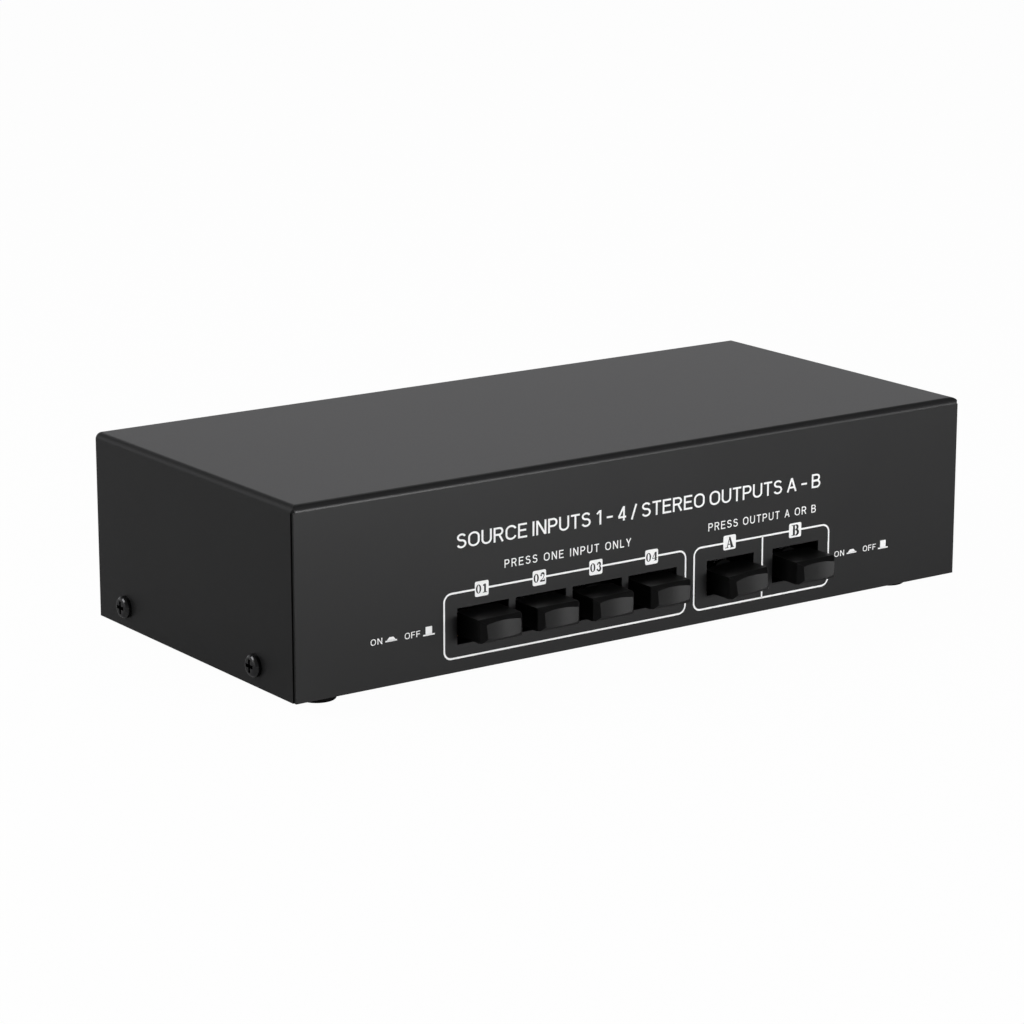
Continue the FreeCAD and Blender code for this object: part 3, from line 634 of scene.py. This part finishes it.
# Two colours and the least roughness of each plated or moulded finish
PLATED = {
    "zinc_steel": ((0.62, 0.62, 0.60), (0.50, 0.51, 0.50), 0.28),
    "spring_steel": ((0.050, 0.050, 0.052), (0.035, 0.035, 0.037), 0.30),
    "tinned_brass": ((0.72, 0.66, 0.50), (0.60, 0.52, 0.34), 0.26),
}
MOULDED = {
    "housing_plastic": ((0.010, 0.010, 0.011), (0.014, 0.014, 0.015), 0.50),
    "terminal_plastic": ((0.010, 0.010, 0.011), (0.015, 0.015, 0.016), 0.36),
    "red_plastic": ((0.50, 0.012, 0.014), (0.42, 0.008, 0.010), 0.24),
    "black_plastic": ((0.010, 0.010, 0.010), (0.014, 0.014, 0.014), 0.24),
    "red_pvc": ((0.45, 0.012, 0.012), (0.38, 0.010, 0.010), 0.40),
    "black_pvc": ((0.012, 0.012, 0.012), (0.018, 0.018, 0.018), 0.40),
}

finishes = {
    "case_coating": case_coating(),
    "button_plastic": button_plastic(),
    "foot_rubber": foot_rubber(),
    "screw_black": screw_black(),
    "board_laminate": board_laminate(),
    # The plungers are black plastic, but darker and duller than the other black parts, so that the
    # insides of the button windows read as shadow: partly painted shade
    "plunger_nylon": moulded("plunger_nylon", (0.002, 0.002, 0.002), (0.003, 0.003, 0.003), 0.70,
                             reflectance=0.02),
}
finishes.update({name: plated(name, *row) for name, row in PLATED.items()})
finishes.update({name: moulded(name, *row) for name, row in MOULDED.items()})
for part in frame["record"]["subparts"]:
    finish = finishes[part["material_slot"]]
    shown = frame["nodes"][part["node"]]
    for holder in shown.material_slots:
        holder.material = finish

white_ink = ink("white_ink", (0.96, 0.96, 0.96), (0.90, 0.90, 0.90))
dark_ink = ink("dark_ink", (0.012, 0.012, 0.013), (0.020, 0.020, 0.021))


# Print on the panels

def state_legend(mesh, panel, u, v):
    """ON beside a low flat hump, OFF beside a standing block: the button's two states."""
    for word, start, end, wide in STATE_WORDS:
        capitals(mesh, panel, word, (u + start, v), (u + end, v), STATE_LETTER_H, wide)
    for start, end, low in STATE_FEET:
        bar(mesh, panel, u + start, u + end, v + low, v + low + STATE_FOOT_H)
    draw(mesh, panel, STATE_HUMP, (u, v), (1.0, 1.0), INK_FLOOR, INK_TOP)
    start, end, low, top = STATE_BLOCK
    bar(mesh, panel, u + start, u + end, v + low, v + top)


def front_print():
    lines = bmesh.new()
    for limits in (INPUT_FRAME, OUTPUT_FRAME):
        line_frame(lines, FRONT_PANEL, limits)
    low, top = OUTPUT_FRAME[2:]
    bar(lines, FRONT_PANEL, DIVIDER_X - LINE_W / 2, DIVIDER_X + LINE_W / 2, low, top)
    piece("front_lines", lines, white_ink)

    words = bmesh.new()
    for text, start, end, height, wide in FRONT_WORDS:
        capitals(words, FRONT_PANEL, text, start, end, height, wide)
    for u, v in STATE_LEGENDS:
        state_legend(words, FRONT_PANEL, u, v)
    piece("front_words", words, white_ink)

    tags = bmesh.new()
    characters = bmesh.new()
    for mark, u in TAG_X.items():
        tag_plate(tags, FRONT_PANEL, u, TAG_Z)
        tag_words(characters, FRONT_PANEL, mark, u, TAG_Z, LETTER_H if len(mark) == 1 else DIGIT_H)
    piece("front_tags", tags, white_ink)
    piece("tag_characters", characters, dark_ink)


def centred(mesh, panel, text, u, v, height):
    """Short marks in plain capitals, centred on u."""
    half = sum(CAPITALS[c][0] + PEN for c in text) * height / 2
    capitals(mesh, panel, text, (u - half, v), (u + half, v), height)


def rear_print():
    """Each circuit's number or letter above its clips, and the signs of their wires below."""
    marks = bmesh.new()
    for mark, u in REAR_CIRCUITS.items():
        centred(marks, REAR_PANEL, mark, u, REAR_NUMBER_Z, REAR_NUMBER_H)
        for side, sign in ((-1, "–"), (1, "+")):
            centred(marks, REAR_PANEL, sign, u + side * CLIP_HALF_PITCH, REAR_SIGN_Z, REAR_SIGN_H)
    for channel, v in REAR_CHANNELS.items():
        for u in (-REAR_CHANNEL_X, REAR_CHANNEL_X):
            centred(marks, REAR_PANEL, channel, u, v, REAR_SIGN_H)
    piece("rear_marks", marks, white_ink)


front_print()
rear_print()


# Floor, light and camera

def lamp(name, place, target, size, watts):
    light = bpy.data.lights.new(name, "AREA")
    light.shape = "RECTANGLE"
    light.size, light.size_y = size
    light.energy = watts
    aim(placed(name, light), place, Vector(target) - Vector(place))


def emptied(owner):
    """The owner's node tree, cleared, ready for a shading of its own."""
    owner.use_nodes = True
    owner.node_tree.nodes.clear()
    return Shading(owner.node_tree)


def backdrop_share(shading):
    """How much of the white backdrop a ray sees: all, a share in a reflection, or none as light."""
    ray = shading.node("ShaderNodeLightPath").outputs
    straight = Field(shading, ray["Is Camera Ray"]) + Field(shading, ray["Is Transmission Ray"])
    return straight + REFLECTED_SHARE * Field(shading, ray["Is Glossy Ray"])


def white_stage():
    """A pale floor that shows plain white to the camera but for a faint shadow."""
    mesh = bmesh.new()
    bmesh.ops.create_grid(mesh, x_segments=1, y_segments=1, size=FLOOR_HALF)
    material = bpy.data.materials.new("floor_white")
    floor = mesh_object("floor", mesh, material)
    shading = emptied(material)
    share = FLOOR_SHOWN * backdrop_share(shading)
    paper = shading.node("ShaderNodeBsdfDiffuse", None, {"Color": FLOOR_COLOUR})
    white = shading.node("ShaderNodeEmission", None, {"Color": WHITE, "Strength": FLOOR_GLOW})
    shading.end("ShaderNodeOutputMaterial", share, paper, white)


def studio_world():
    """White to the camera. The light comes from a grey room, bright at its rear horizon."""
    world = bpy.data.worlds.new("studio")
    bpy.context.scene.world = world
    shading = emptied(world)
    way = shading.node("ShaderNodeTexCoord").outputs["Generated"]
    ways = shading.node("ShaderNodeSeparateXYZ", None, {"Vector": way}).outputs
    deep = Field(shading, ways["Y"])
    height = Field(shading, ways["Z"])
    sides = ROOM_FRONT + (ROOM_BACK - ROOM_FRONT) * deep.between(ROOM_NEAR, ROOM_FAR)
    bright = sides + (ROOM_ABOVE - sides) * height.between(ROOM_LOW, ROOM_HIGH)
    room = shading.node("ShaderNodeBackground", None, {"Color": ROOM_COLOUR, "Strength": bright})
    white = shading.node("ShaderNodeBackground", None, {"Color": WHITE})
    shading.end("ShaderNodeOutputWorld", backdrop_share(shading), room, white)


def camera():
    data = bpy.data.cameras.new("camera")
    data.sensor_width = SENSOR
    data.lens = LENS
    data.clip_start = NEAREST_SHOWN
    data.clip_end = FARTHEST_SHOWN
    back = Vector((math.sin(VIEW_AZIMUTH) * math.cos(VIEW_ELEVATION),
                   -math.cos(VIEW_AZIMUTH) * math.cos(VIEW_ELEVATION), math.sin(VIEW_ELEVATION)))
    holder = placed("camera", data)
    aim(holder, AIM + back * VIEW_DISTANCE, -back)
    bpy.context.scene.camera = holder


white_stage()
studio_world()
for name, settings in LAMPS.items():
    lamp(name, *settings)
camera()
bpy.context.scene.view_settings.view_transform = "Standard"
